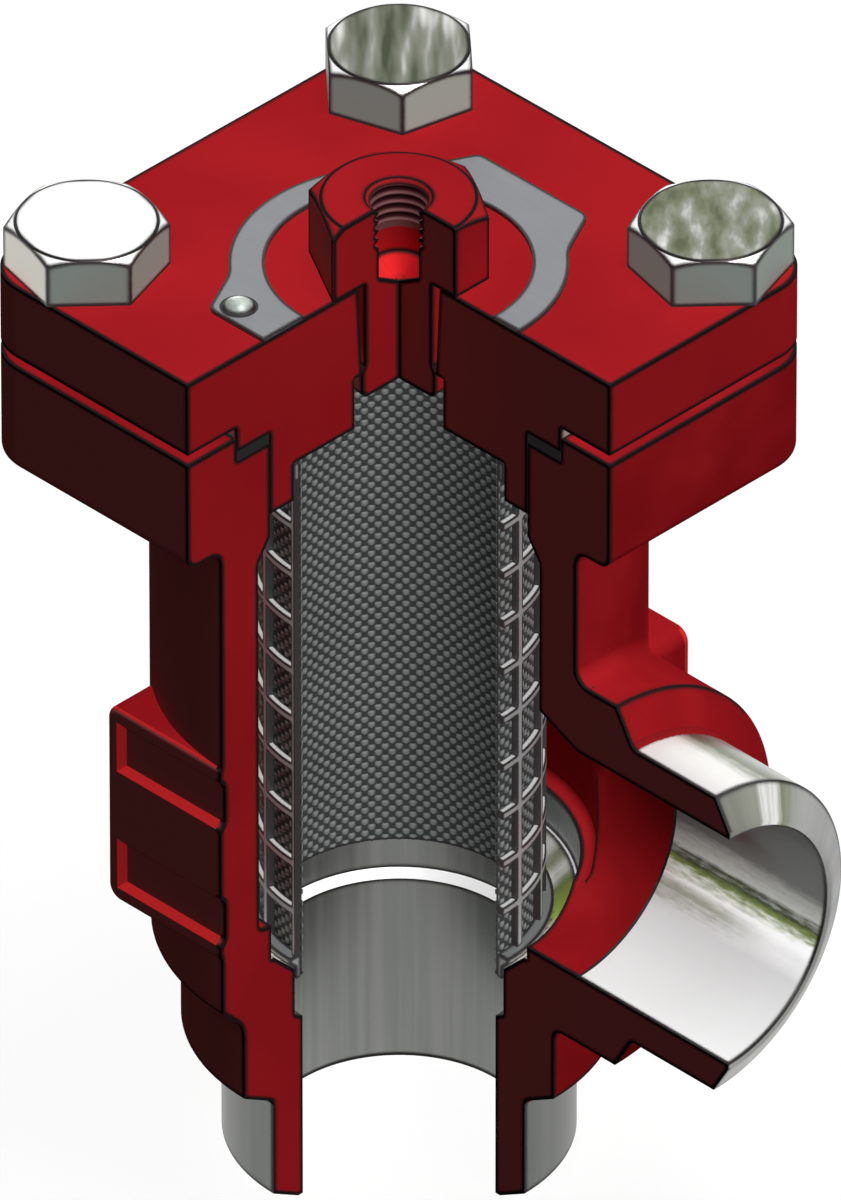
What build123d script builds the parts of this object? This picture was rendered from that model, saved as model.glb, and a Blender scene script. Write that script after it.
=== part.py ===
from build123d import *
from math import acos, cos, degrees, floor, radians, sqrt, tan
import os

# Angle strainer for a DN 32 line, with its front quarter cut away to show the inside.
# The inlet end face is at the origin and faces down, the body's axis is +Z, and the outlet leaves along +X.
# Sizes are in millimetres and degrees.

# Pipe ends, alike at the inlet and the outlet
pipe_diameter = 42.4
pipe_wall = 4.9
weld_land = 0.8
weld_angle = 30
centre_to_end = 55.0
stub_length = 16.0
stub_cone_angle = 30
stub_fillet = 1.0

# Strainer: everything round it takes its radius from the cage
cage_radius = 17.5
cage_wall = 0.9
rib_count = 18
rib_width = 1.0
first_rib_angle = 10
hoop_height = 1.0
hoop_pitch = 6.96
head_ring_height = 2.7
foot_ring_height = 1.7
foot_sleeve_wall = 0.7
foot_sleeve_length = 1.6
collar_overhang = 0.8
screen_wall = 0.6

# Housing inside
seat_drop = 5.2
seat_angle = 45
seat_ledge = 0.6
guide_length = 6.7
guide_foot_angle = 30
chamber_lip = 3.2
chamber_relief = 2.0
chamber_fillet = 1.2
throat_run_out = 3.2
throat_taper = 3.0
gasket_seat_width = 5.5
gasket_recess_depth = 3.3
outlet_bore_run_in = 0.3
flare_angle = 24
flare_start = 5.0

# Housing outside
barrel_wall = 6.0
barrel_fillet = 2.0
shoulder_step = 3.5
shoulder_rise = 3.9
shoulder_fillet = 4.0
branch_fillet = 2.0
foot_joint_fillet = 1.5
neck_length = 19.0
flange_thickness = 14.9
flange_corner = 6.5
flange_round = 1.5

# Name pads on the housing's front and back
pad_width = 38.2
pad_height = 28.0
pad_drop = 0.25
pad_proud = 0.3
pad_corner = 2.0
pad_round = 0.8
panel_border = 2.0
panel_side_border = 1.7
panel_height = 7.1
panel_depth = 0.8
panel_draft = 48

# Cover and gasket
flange_gap = 1.5
gasket_thickness = 1.4
cover_thickness = 10.0
skirt_wall = 3.8
spigot_length = 15.0
strainer_pocket_depth = 5.3
plug_recess_step = 1.4
plug_recess_depth = 7.1
plug_hole_taper = 0.65

# Bolts
bolt_land = 4.5
bolt_edge = 9.12
bolt_radius = 5.0
bolt_pitch = 1.5
bolt_shank_length = 25.0
bolt_plain_length = 3.0
bolt_flats = 17.0
bolt_head_height = 6.4
bolt_crown_inset = 0.1
crown_angle = 30

# Plug in the cover
plug_flats = 19.0
plug_head_height = 9.8
plug_crown_inset = 0.35
plug_end_radius = 6.1
plug_end_length = 3.8
plug_end_lap = 0.3
plug_neck_relief = 0.53
plug_hole_pitch = 1.25
plug_hole_minor_radius = 3.4
plug_hole_major_radius = 4.0
plug_thread_depth = 6.5
plug_drill_depth = 10.0
drill_point_angle = 118

# Ring plate and its rivet
plate_thickness = 0.5
plate_inner_radius = 15.75
plate_outer_radius = 20.0
ear_rise = 2.5
ear_half_width = 9.0
ear_root_half_width = 12.4
ear_round = 1.5
ear_root_round = 8.0
rivet_side_inset = 2.3
rivet_end_inset = 2.7
rivet_head_radius = 2.0
rivet_head_height = 1.0
rivet_pin_radius = 0.9
rivet_pin_length = 3.5

# Clearances
guide_clearance = 0.1
spigot_clearance = 0.1
gasket_clearance = 0.1
seat_clearance = 0.3
strainer_end_play = 0.1
screen_clearance = 0.05
bolt_hole_clearance = 0.5
tapped_hole_clearance = 0.1
plug_clearance = 0.15
rivet_clearance = 0.05

# The cut planes stand this far outside the two centre planes
cut_offset = 0.1

# Radii from the cage outwards
guide_radius = cage_radius + guide_clearance
spigot_radius = guide_radius + skirt_wall
throat_radius = spigot_radius + spigot_clearance
seat_land_radius = throat_radius - seat_ledge
chamber_radius = throat_radius + chamber_relief
barrel_radius = chamber_radius + barrel_wall
foot_radius = barrel_radius - shoulder_step
branch_radius = foot_radius
pad_reach = barrel_radius + pad_proud
gasket_recess_radius = throat_radius + gasket_seat_width
tongue_radius = gasket_recess_radius - gasket_clearance
tapped_hole_radius = bolt_radius + tapped_hole_clearance
bolt_hole_radius = bolt_radius + bolt_hole_clearance
bolt_offset = (gasket_recess_radius + bolt_land + tapped_hole_radius) / sqrt(2)
flange_width = 2 * (bolt_offset + bolt_edge)

# Radii of the pipe ends, the plug and the strainer
pipe_radius = pipe_diameter / 2
pipe_bore_radius = pipe_radius - pipe_wall
land_radius = pipe_bore_radius + weld_land
plug_hole_radius = plug_end_radius + plug_clearance
plug_recess_radius = plug_end_radius + plug_recess_step
plug_neck_radius = plug_end_radius - plug_neck_relief
cage_inner_radius = cage_radius - cage_wall
screen_radius = cage_inner_radius - screen_clearance
screen_inner_radius = screen_radius - screen_wall
foot_sleeve_radius = cage_inner_radius + foot_sleeve_wall
collar_radius = guide_radius + collar_overhang

# Heights of the housing, from the inlet end face, and lengths along the branch
outlet_height = centre_to_end
pad_middle = outlet_height - pad_drop
outlet_end = centre_to_end
bevel_length = (pipe_radius - land_radius) * tan(radians(weld_angle))
stub_cone_length = (foot_radius - pipe_radius) * tan(radians(stub_cone_angle))
outlet_bore_start = barrel_radius + outlet_bore_run_in
outlet_floor = outlet_height - pipe_bore_radius
seat_slope = 1 / tan(radians(seat_angle))
seat_height = outlet_floor - seat_drop
seat_top = seat_height + (seat_land_radius - guide_radius) * seat_slope
guide_bottom = seat_height - guide_length
guide_foot = guide_bottom - (guide_radius - pipe_bore_radius) * tan(radians(guide_foot_angle))
chamber_floor = outlet_floor + chamber_lip
barrel_foot = outlet_height - branch_radius + shoulder_rise
flange_bottom = outlet_height + branch_radius + neck_length
flange_top = flange_bottom + flange_thickness
recess_floor = flange_top - gasket_recess_depth

# Where the housing's four lengths meet, each clear of the fillets
inlet_joint = chamber_floor + chamber_fillet
outlet_joint = barrel_radius + branch_fillet
flange_joint = flange_bottom - barrel_fillet

# Heights of the cover, the plug and the strainer
cover_bottom = flange_top + flange_gap
cover_top = cover_bottom + cover_thickness
tongue_bottom = recess_floor + gasket_thickness
spigot_bottom = cover_bottom - spigot_length
throat_bottom = spigot_bottom - throat_run_out
pocket_ceiling = spigot_bottom + strainer_pocket_depth
plug_recess_top = pocket_ceiling + plug_recess_depth
plug_end_top = plug_recess_top + plug_end_lap
plug_bottom = plug_end_top - plug_end_length
plug_top = cover_top + plug_head_height
strainer_top = pocket_ceiling - strainer_end_play
head_ring_bottom = strainer_top - head_ring_height
foot_ring_top = seat_height + foot_ring_height
foot_ring_bottom = seat_height + seat_clearance - (guide_radius - foot_sleeve_radius) * seat_slope
collar_bottom = foot_ring_bottom + (collar_radius - foot_sleeve_radius) * seat_slope
sleeve_bottom = seat_height - foot_sleeve_length
cage_height = head_ring_bottom - foot_ring_top

# Rivet's place on the ring plate's front ear
ear_reach = plate_outer_radius + ear_rise
rivet_x = -(ear_half_width - rivet_side_inset)
rivet_y = -(ear_reach - rivet_end_inset)

# A length past the whole part, how far a cut runs past a face, and how closely an edge is picked
far = 4 * (flange_top + flange_width)
overcut = 1.0
pick = 0.01


def cut_quarter():
    """Take the front right quarter out of the part being built."""
    with BuildSketch(Plane.XY.offset(-far / 2)) as quarter:
        with Locations((cut_offset + far / 2, -cut_offset - far / 2)):
            Rectangle(far, far)
    extrude(quarter.sketch, amount=far, mode=Mode.SUBTRACT)


def corner_near(sketch, across, up):
    """The corner of a profile that is nearest to a point."""
    return sketch.vertices().sort_by_distance((across, up))[0]


def hexagon_head(flats, crown_inset, height, bottom, corner_angle):
    """A hexagon head on the Z axis, with its top corners cut back to a cone."""
    with BuildSketch(Plane.XY.offset(bottom)) as hexagon:
        RegularPolygon(flats / 2, 6, major_radius=False, rotation=corner_angle)
    extrude(hexagon.sketch, amount=height)
    corner_radius = flats / 2 / cos(radians(30))
    crown_radius = flats / 2 - crown_inset
    crown_drop = (corner_radius - crown_radius) * tan(radians(crown_angle))
    with BuildSketch(Plane.XZ) as crown:
        with BuildLine():
            Polyline(
                (0, bottom),
                (corner_radius, bottom),
                (corner_radius, bottom + height - crown_drop),
                (crown_radius, bottom + height),
                (0, bottom + height),
                close=True,
            )
        make_face()
    revolve(crown.sketch, axis=Axis.Z, mode=Mode.INTERSECT)


def thread_points(crest_radius, root_radius, pitch, start, length):
    """Points down one side of a ring thread: for each pitch a crest, a flank, a root and a flank."""
    crest_flat = pitch / 8
    root_flat = pitch / 4
    flank = (pitch - crest_flat - root_flat) / 2
    points = [(crest_radius, start)]
    for turn in range(floor(length / pitch)):
        top = start - turn * pitch
        points += [
            (crest_radius, top - crest_flat),
            (root_radius, top - crest_flat - flank),
            (root_radius, top - crest_flat - flank - root_flat),
            (crest_radius, top - pitch),
        ]
    return points


# Block that stands out of the housing's front and back as its two name pads
with BuildPart() as name_pads:
    with BuildSketch(Plane.XZ):
        with Locations((0, pad_middle)):
            RectangleRounded(pad_width, pad_height, pad_corner)
    extrude(amount=pad_reach, both=True)
    pad_faces = name_pads.faces().filter_by(Axis.Y)
    fillet(pad_faces.edges(), radius=pad_round)


# Housing: one casting, machined inside and at its pipe ends
with BuildPart() as housing:
    with BuildSketch(Plane.XY.offset(flange_bottom)):
        RectangleRounded(flange_width, flange_width, flange_corner)
    extrude(amount=flange_thickness)
    fillet(housing.edges().group_by(Axis.Z)[0], radius=flange_round)

    # Barrel, foot and inlet pipe end
    with BuildSketch(Plane.XZ) as barrel_profile:
        with BuildLine():
            Polyline(
                (0, 0),
                (land_radius, 0),
                (pipe_radius, bevel_length),
                (pipe_radius, stub_length),
                (foot_radius, stub_length + stub_cone_length),
                (foot_radius, barrel_foot - shoulder_step),
                (barrel_radius, barrel_foot),
                (barrel_radius, flange_bottom + flange_thickness / 2),
                (0, flange_bottom + flange_thickness / 2),
                close=True,
            )
        make_face()
        fillet(corner_near(barrel_profile, foot_radius, barrel_foot - shoulder_step), radius=shoulder_fillet)
        fillet(corner_near(barrel_profile, pipe_radius, stub_length), radius=stub_fillet)
    revolve(axis=Axis.Z)

    # Branch and outlet pipe end, drawn as distance from the body's axis and height above the branch's own
    outlet_axis = Axis((0, 0, outlet_height), (1, 0, 0))
    with BuildSketch(Plane.XZ) as branch_profile:
        with BuildLine():
            Polyline(
                (0, outlet_height),
                (outlet_end, outlet_height),
                (outlet_end, outlet_height + land_radius),
                (outlet_end - bevel_length, outlet_height + pipe_radius),
                (outlet_end - stub_length, outlet_height + pipe_radius),
                (outlet_end - stub_length - stub_cone_length, outlet_height + branch_radius),
                (0, outlet_height + branch_radius),
                close=True,
            )
        make_face()
        stub_corner = corner_near(branch_profile, outlet_end - stub_length, outlet_height + pipe_radius)
        fillet(stub_corner, radius=stub_fillet)
    revolve(axis=outlet_axis)
    branch_joint = housing.edges(Select.NEW)
    fillet(branch_joint.filter_by_position(Axis.Z, barrel_foot, flange_bottom), radius=branch_fillet)
    foot_joint = housing.edges().filter_by(GeomType.BSPLINE).filter_by_position(
        Axis.Z, outlet_height - branch_radius, barrel_foot
    )
    fillet(foot_joint.sort_by(SortBy.LENGTH)[-4:], radius=foot_joint_fillet)

    # Round under the flange where the barrel meets it
    barrel_rim = housing.edges().filter_by(GeomType.CIRCLE).filter_by_position(
        Axis.Z, flange_bottom - pick, flange_bottom + pick
    )
    fillet(barrel_rim.sort_by(SortBy.LENGTH)[-1], radius=barrel_fillet)
    add(name_pads.part)

    # Two sunk panels with sloping walls in each name pad
    panel_rise = pad_height / 2 - panel_border - panel_height / 2
    for side in (-1, 1):
        pad_face = Plane(origin=(0, side * pad_reach, pad_middle), x_dir=(1, 0, 0), z_dir=(0, -side, 0))
        with BuildSketch(pad_face):
            with Locations((0, -panel_rise), (0, panel_rise)):
                Rectangle(pad_width - 2 * panel_side_border, panel_height)
        extrude(amount=panel_depth, taper=panel_draft, mode=Mode.SUBTRACT)

    # Bores along the body's axis
    with BuildSketch(Plane.XZ) as bore_profile:
        with BuildLine():
            Polyline(
                (0, -overcut),
                (pipe_bore_radius, -overcut),
                (pipe_bore_radius, guide_foot),
                (guide_radius, guide_bottom),
                (guide_radius, seat_height),
                (seat_land_radius, seat_top),
                (throat_radius, seat_top),
                (throat_radius, chamber_floor),
                (chamber_radius, chamber_floor),
                (chamber_radius, throat_bottom - throat_taper),
                (throat_radius, throat_bottom),
                (throat_radius, recess_floor),
                (gasket_recess_radius, recess_floor),
                (gasket_recess_radius, flange_top + overcut),
                (0, flange_top + overcut),
                close=True,
            )
        make_face()
        fillet(corner_near(bore_profile, chamber_radius, chamber_floor), radius=chamber_fillet)
    revolve(axis=Axis.Z, mode=Mode.SUBTRACT)

    # Outlet bore, and the cast flare that leads into it with a level floor
    flare_rise = (outlet_bore_start - flare_start) * tan(radians(flare_angle)) / 2
    with BuildSketch(Plane.YZ.offset(outlet_bore_start)) as outlet_circle:
        with Locations((0, outlet_height)):
            Circle(pipe_bore_radius)
    extrude(amount=outlet_end - outlet_bore_start + overcut, mode=Mode.SUBTRACT)
    with BuildSketch(Plane.YZ.offset(flare_start)) as flare_circle:
        with Locations((0, outlet_height + flare_rise)):
            Circle(pipe_bore_radius + flare_rise)
    loft(sections=[outlet_circle.sketch, flare_circle.sketch], mode=Mode.SUBTRACT)

    # Tapped holes for the bolts
    with BuildSketch(Plane.XY.offset(flange_top)):
        with GridLocations(2 * bolt_offset, 2 * bolt_offset, 2, 2):
            Circle(tapped_hole_radius)
    extrude(amount=-flange_thickness, mode=Mode.SUBTRACT)
    cut_quarter()


# The casting in four lengths that meet face to face: flange, outlet, barrel and inlet
with BuildPart() as housing_flange:
    add(housing.part)
    split(bisect_by=Plane.XY.offset(flange_joint), keep=Keep.TOP)

with BuildPart() as housing_body:
    add(housing.part)
    split(bisect_by=Plane.XY.offset(flange_joint), keep=Keep.BOTTOM)

with BuildPart() as housing_outlet:
    add(housing_body.part)
    split(bisect_by=Plane.YZ.offset(outlet_joint), keep=Keep.TOP)

with BuildPart() as housing_barrel:
    add(housing_body.part)
    split(bisect_by=Plane.YZ.offset(outlet_joint), keep=Keep.BOTTOM)
    split(bisect_by=Plane.XY.offset(inlet_joint), keep=Keep.TOP)

with BuildPart() as housing_inlet:
    add(housing_body.part)
    split(bisect_by=Plane.YZ.offset(outlet_joint), keep=Keep.BOTTOM)
    split(bisect_by=Plane.XY.offset(inlet_joint), keep=Keep.BOTTOM)


# Cover: plate, gasket tongue, spigot and the skirt that holds the strainer's head
with BuildPart() as cover:
    with BuildSketch(Plane.XY.offset(cover_bottom)):
        RectangleRounded(flange_width, flange_width, flange_corner)
    extrude(amount=cover_thickness)
    with BuildSketch(Plane.XY.offset(cover_bottom)):
        Circle(tongue_radius)
    extrude(amount=tongue_bottom - cover_bottom)
    with BuildSketch(Plane.XY.offset(cover_bottom)):
        Circle(spigot_radius)
    extrude(amount=-spigot_length)

    # Pocket for the strainer, recess for the plug's end, and the plug's hole, wider at the top
    with BuildSketch(Plane.XZ):
        with BuildLine():
            Polyline(
                (0, spigot_bottom - overcut),
                (guide_radius, spigot_bottom - overcut),
                (guide_radius, pocket_ceiling),
                (plug_recess_radius, pocket_ceiling),
                (plug_recess_radius, plug_recess_top),
                (plug_hole_radius, plug_recess_top),
                (plug_hole_radius + plug_hole_taper, cover_top),
                (0, cover_top),
                close=True,
            )
        make_face()
    revolve(axis=Axis.Z, mode=Mode.SUBTRACT)

    with BuildSketch(Plane.XY.offset(cover_top)):
        with GridLocations(2 * bolt_offset, 2 * bolt_offset, 2, 2):
            Circle(bolt_hole_radius)
    extrude(amount=-cover_thickness, mode=Mode.SUBTRACT)
    with BuildSketch(Plane.XY.offset(cover_top)):
        with Locations((rivet_x, rivet_y)):
            Circle(rivet_pin_radius + rivet_clearance)
    extrude(amount=-rivet_pin_length, mode=Mode.SUBTRACT)
    cut_quarter()


# Gasket in the housing's recess, round the cover's spigot
with BuildPart() as cover_gasket:
    with BuildSketch(Plane.XY.offset(recess_floor)):
        Circle(tongue_radius)
        Circle(throat_radius + gasket_clearance, mode=Mode.SUBTRACT)
    extrude(amount=gasket_thickness)
    cut_quarter()


def make_bolt(name, x, y, corner_angle):
    """One hexagon bolt, threaded up to a short plain length under its head."""
    thread_start = -bolt_plain_length
    thread_length = bolt_shank_length - bolt_plain_length
    thread_depth = 0.61 * bolt_pitch
    with BuildPart() as bolt:
        hexagon_head(bolt_flats, bolt_crown_inset, bolt_head_height, 0, corner_angle)
        root_radius = bolt_radius - thread_depth
        thread_side = thread_points(bolt_radius, root_radius, bolt_pitch, thread_start, thread_length)
        with BuildSketch(Plane.XZ):
            with BuildLine():
                Polyline(
                    (0, 0),
                    (bolt_radius, 0),
                    *thread_side,
                    (root_radius, -bolt_shank_length),
                    (0, -bolt_shank_length),
                    close=True,
                )
            make_face()
        revolve(axis=Axis.Z)
    placed = bolt.part.moved(Location((x, y, cover_top)))
    placed.label = name
    return placed


# Plug: hexagon head, neck, end collar and a blind threaded hole from the top
with BuildPart() as screw_plug:
    hexagon_head(plug_flats, plug_crown_inset, plug_head_height, cover_top, -90)
    with BuildSketch(Plane.XZ) as plug_profile:
        with BuildLine():
            Polyline(
                (0, cover_top),
                (plug_neck_radius, cover_top),
                (plug_neck_radius, plug_end_top + plug_neck_relief),
                (plug_end_radius, plug_end_top),
                (plug_end_radius, plug_bottom),
                (0, plug_bottom),
                close=True,
            )
        make_face()
        chamfer(corner_near(plug_profile, plug_end_radius, plug_bottom), length=plug_neck_relief)
    revolve(axis=Axis.Z)
    drill_point = plug_hole_minor_radius / tan(radians(drill_point_angle / 2))
    countersink = plug_hole_major_radius - plug_hole_minor_radius
    thread_side = thread_points(
        plug_hole_minor_radius,
        plug_hole_major_radius,
        plug_hole_pitch,
        plug_top - countersink,
        plug_thread_depth - countersink,
    )
    with BuildSketch(Plane.XZ):
        with BuildLine():
            Polyline(
                (0, plug_top),
                (plug_hole_major_radius, plug_top),
                *thread_side,
                (plug_hole_minor_radius, plug_top - plug_drill_depth),
                (0, plug_top - plug_drill_depth - drill_point),
                close=True,
            )
        make_face()
    revolve(axis=Axis.Z, mode=Mode.SUBTRACT)
    cut_quarter()


# Flat ring plate with two ears, left bare
with BuildPart() as id_ring:
    ear_root = sqrt(plate_outer_radius**2 - ear_root_half_width**2)
    with BuildSketch(Plane.XY.offset(cover_top)) as plate:
        for side in (-1, 1):
            with BuildLine():
                Polyline(
                    (0, 0),
                    (ear_root_half_width, side * ear_root),
                    (ear_half_width, side * ear_reach),
                    (-ear_half_width, side * ear_reach),
                    (-ear_root_half_width, side * ear_root),
                    close=True,
                )
            make_face()
        for side in (-1, 1):
            for end in (-1, 1):
                fillet(corner_near(plate, end * ear_half_width, side * ear_reach), radius=ear_round)
        Circle(plate_outer_radius)
        for side in (-1, 1):
            for end in (-1, 1):
                fillet(corner_near(plate, end * ear_root_half_width, side * ear_root), radius=ear_root_round)
        Circle(plate_inner_radius, mode=Mode.SUBTRACT)
        with Locations((rivet_x, rivet_y)):
            Circle(rivet_pin_radius + rivet_clearance, mode=Mode.SUBTRACT)
    extrude(amount=plate_thickness)
    cut_quarter()


# Rivet with a domed head on the plate
with BuildPart() as drive_rivet:
    head_bottom = cover_top + plate_thickness
    pin_bottom = cover_top - rivet_pin_length
    dome_radius = (rivet_head_radius**2 + rivet_head_height**2) / (2 * rivet_head_height)
    dome_angle = degrees(acos(rivet_head_radius / dome_radius))
    dome_centre = head_bottom + rivet_head_height - dome_radius
    with BuildSketch(Plane.XZ):
        with BuildLine():
            CenterArc((0, dome_centre), dome_radius, dome_angle, 90 - dome_angle)
            Polyline(
                (0, head_bottom + rivet_head_height),
                (0, pin_bottom),
                (rivet_pin_radius, pin_bottom),
                (rivet_pin_radius, head_bottom),
                (rivet_head_radius, head_bottom),
            )
        make_face()
    revolve(axis=Axis.Z)


# Strainer cage: ribs along it and hoops round it, between its head ring and foot ring
with BuildPart() as strainer_cage:
    rib_middle = cage_radius - cage_wall / 2
    with BuildSketch(Plane.XY.offset(foot_ring_top)):
        with PolarLocations(rib_middle, rib_count, start_angle=first_rib_angle):
            Rectangle(2 * cage_wall, rib_width)
        Circle(cage_radius, mode=Mode.INTERSECT)
        Circle(cage_inner_radius, mode=Mode.SUBTRACT)
    extrude(amount=cage_height)
    hoop_count = floor(cage_height / hoop_pitch)
    hoop_middle = foot_ring_top + cage_height / 2
    for hoop in range(hoop_count):
        hoop_height_now = hoop_middle + (hoop - (hoop_count - 1) / 2) * hoop_pitch
        with BuildSketch(Plane.XY.offset(hoop_height_now - hoop_height / 2)):
            Circle(cage_radius)
            Circle(cage_inner_radius, mode=Mode.SUBTRACT)
        extrude(amount=hoop_height)
    cut_quarter()


# Woven wire sleeve inside the cage, as one plain wall
with BuildPart() as strainer_screen:
    with BuildSketch(Plane.XY.offset(sleeve_bottom)):
        Circle(screen_radius)
        Circle(screen_inner_radius, mode=Mode.SUBTRACT)
    extrude(amount=strainer_top - sleeve_bottom)
    cut_quarter()


# Solid band at the top of the cage, held in the cover's skirt
with BuildPart() as strainer_head_ring:
    with BuildSketch(Plane.XY.offset(head_ring_bottom)):
        Circle(cage_radius)
        Circle(cage_inner_radius, mode=Mode.SUBTRACT)
    extrude(amount=head_ring_height)
    cut_quarter()


# Band at the foot of the cage, with a sleeve in the guide bore and a collar over the seat's cone
with BuildPart() as strainer_foot_ring:
    with BuildSketch(Plane.XZ):
        with BuildLine():
            Polyline(
                (cage_inner_radius, sleeve_bottom),
                (foot_sleeve_radius, sleeve_bottom),
                (foot_sleeve_radius, foot_ring_bottom),
                (collar_radius, collar_bottom),
                (collar_radius, foot_ring_top),
                (cage_inner_radius, foot_ring_top),
                close=True,
            )
        make_face()
    revolve(axis=Axis.Z)
    cut_quarter()


os.makedirs("parts", exist_ok=True)

housing_inlet.part.label = "housing_inlet"
housing_barrel.part.label = "housing_barrel"
housing_outlet.part.label = "housing_outlet"
housing_flange.part.label = "housing_flange"
cover.part.label = "cover"
cover_gasket.part.label = "cover_gasket"
screw_plug.part.label = "screw_plug"
id_ring.part.label = "id_ring"
strainer_cage.part.label = "strainer_cage"
strainer_screen.part.label = "strainer_screen"
strainer_head_ring.part.label = "strainer_head_ring"
strainer_foot_ring.part.label = "strainer_foot_ring"

rivet = drive_rivet.part.moved(Location((rivet_x, rivet_y, 0)))
rivet.label = "drive_rivet"

export_step(housing_inlet.part, "parts/housing_inlet.step")
export_step(housing_barrel.part, "parts/housing_barrel.step")
export_step(housing_outlet.part, "parts/housing_outlet.step")
export_step(housing_flange.part, "parts/housing_flange.step")
export_step(cover.part, "parts/cover.step")
export_step(cover_gasket.part, "parts/cover_gasket.step")
export_step(make_bolt("bolt_left", -bolt_offset, -bolt_offset, 47), "parts/bolt_left.step")
export_step(make_bolt("bolt_rear", -bolt_offset, bolt_offset, 17.5), "parts/bolt_rear.step")
export_step(make_bolt("bolt_right", bolt_offset, bolt_offset, 47), "parts/bolt_right.step")
export_step(screw_plug.part, "parts/screw_plug.step")
export_step(id_ring.part, "parts/id_ring.step")
export_step(rivet, "parts/drive_rivet.step")
export_step(strainer_cage.part, "parts/strainer_cage.step")
export_step(strainer_screen.part, "parts/strainer_screen.step")
export_step(strainer_head_ring.part, "parts/strainer_head_ring.step")
export_step(strainer_foot_ring.part, "parts/strainer_foot_ring.step")
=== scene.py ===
from math import hypot, pi, radians, sqrt

import bmesh
import bpy
from mathutils import Matrix, Vector


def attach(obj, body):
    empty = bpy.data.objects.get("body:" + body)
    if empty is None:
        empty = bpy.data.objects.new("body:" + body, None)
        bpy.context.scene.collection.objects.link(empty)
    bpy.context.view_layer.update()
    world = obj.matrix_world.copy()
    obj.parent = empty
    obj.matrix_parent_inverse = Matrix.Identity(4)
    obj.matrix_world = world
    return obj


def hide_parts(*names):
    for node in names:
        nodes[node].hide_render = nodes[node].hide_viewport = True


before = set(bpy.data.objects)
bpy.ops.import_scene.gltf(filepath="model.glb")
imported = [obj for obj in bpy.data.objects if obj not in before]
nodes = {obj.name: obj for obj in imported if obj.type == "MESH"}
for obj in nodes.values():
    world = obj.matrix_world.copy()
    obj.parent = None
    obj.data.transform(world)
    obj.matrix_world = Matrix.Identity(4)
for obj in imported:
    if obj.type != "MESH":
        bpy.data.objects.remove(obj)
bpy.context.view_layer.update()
mm = 0.001  # lengths are in metres, so one in millimetres is written times mm
print("frame loaded:", len(nodes), "solids")


# Shader maths

def colour(red, green, blue):  # from screen values to the linear ones that a shader takes
    parts = []
    for part in (red, green, blue):
        part = part / 255
        parts.append(part / 12.92 if part <= 0.04045 else ((part + 0.055) / 1.055) ** 2.4)
    return (*parts, 1.0)


class Value:  # the output of a node, with arithmetic that adds Math nodes
    def __init__(self, tree, socket):
        self.tree = tree
        self.socket = socket

    def math(self, operation, *values):
        return self.tree.node("ShaderNodeMath", {"operation": operation}, dict(enumerate(values)))

    def __add__(self, other):
        return self.math("ADD", self, other)

    def __sub__(self, other):
        return self.math("SUBTRACT", self, other)

    def __rsub__(self, other):
        return self.math("SUBTRACT", other, self)

    def __mul__(self, other):
        return self.math("MULTIPLY", self, other)

    def __truediv__(self, other):
        return self.math("DIVIDE", self, other)

    def __lt__(self, other):
        return self.math("LESS_THAN", self, other)

    def __gt__(self, other):
        return self.math("GREATER_THAN", self, other)

    __radd__ = __add__
    __rmul__ = __mul__


class Tree:  # a node tree, and the few patterns that the finishes share
    def __init__(self, nodeTree):
        self.nodeTree = nodeTree

    def node(self, kind, settings=None, sockets=None, output=0):
        made = self.nodeTree.nodes.new(kind)
        for name, setting in (settings or {}).items():
            if name == "stops":
                while len(made.color_ramp.elements) < len(setting):
                    made.color_ramp.elements.new(0.5)
                for element, (place, shade) in zip(made.color_ramp.elements, setting):
                    element.position = place
                    element.color = shade
            else:
                setattr(made, name, setting)
        for name, value in (sockets or {}).items():
            if isinstance(value, Value):
                self.nodeTree.links.new(value.socket, made.inputs[name])
            else:
                made.inputs[name].default_value = value
        return Value(self, made.outputs[output])

    def place(self):
        return self.node("ShaderNodeTexCoord", output="Object")

    def along(self, axis):
        return self.node("ShaderNodeSeparateXYZ", None, {0: self.place()}, axis)

    def facing(self, axis):
        normal = self.node("ShaderNodeNewGeometry", output="Normal")
        return self.node("ShaderNodeSeparateXYZ", None, {0: normal}, axis)

    def vector(self, x, y, z):
        return self.node("ShaderNodeCombineXYZ", None, {0: x, 1: y, 2: z})

    def noise(self, scale, detail=3.0, vector=None):
        sockets = {"Vector": vector or self.place(), "Scale": scale, "Detail": detail}
        return self.node("ShaderNodeTexNoise", None, sockets)

    def grain(self, across, along, scales, detail, layer=0.0):  # noise with its own scale each way
        return self.noise(1.0, detail, self.vector(across * scales[0], along * scales[1], layer))

    def fade(self, value, low, high):  # a smooth step from 0 at low to 1 at high
        smooth = {"interpolation_type": "SMOOTHSTEP"}
        return self.node("ShaderNodeMapRange", smooth, {0: value, 1: low, 2: high})

    def mix(self, share, first, second):
        return self.node("ShaderNodeMix", {"data_type": "RGBA"}, {0: share, 6: first, 7: second}, 2)

    def ramp(self, value, stops):
        return self.node("ShaderNodeValToRGB", {"stops": stops}, {0: value})

    def edges(self, reach):  # 1 along a sharp edge, and 0 from half the reach away
        rounded = self.node("ShaderNodeBevel", {"samples": inkLine["samples"]}, {"Radius": reach})
        plain = self.node("ShaderNodeNewGeometry", output="Normal")
        product = {"operation": "DOT_PRODUCT"}
        alike = self.node("ShaderNodeVectorMath", product, {0: rounded, 1: plain}, "Value")
        return 1 - self.fade(alike, inkLine["full"], inkLine["none"])

    def bump(self, height, strength, distance):
        sockets = {"Height": height, "Strength": strength, "Distance": distance}
        return self.node("ShaderNodeBump", None, sockets)


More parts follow.
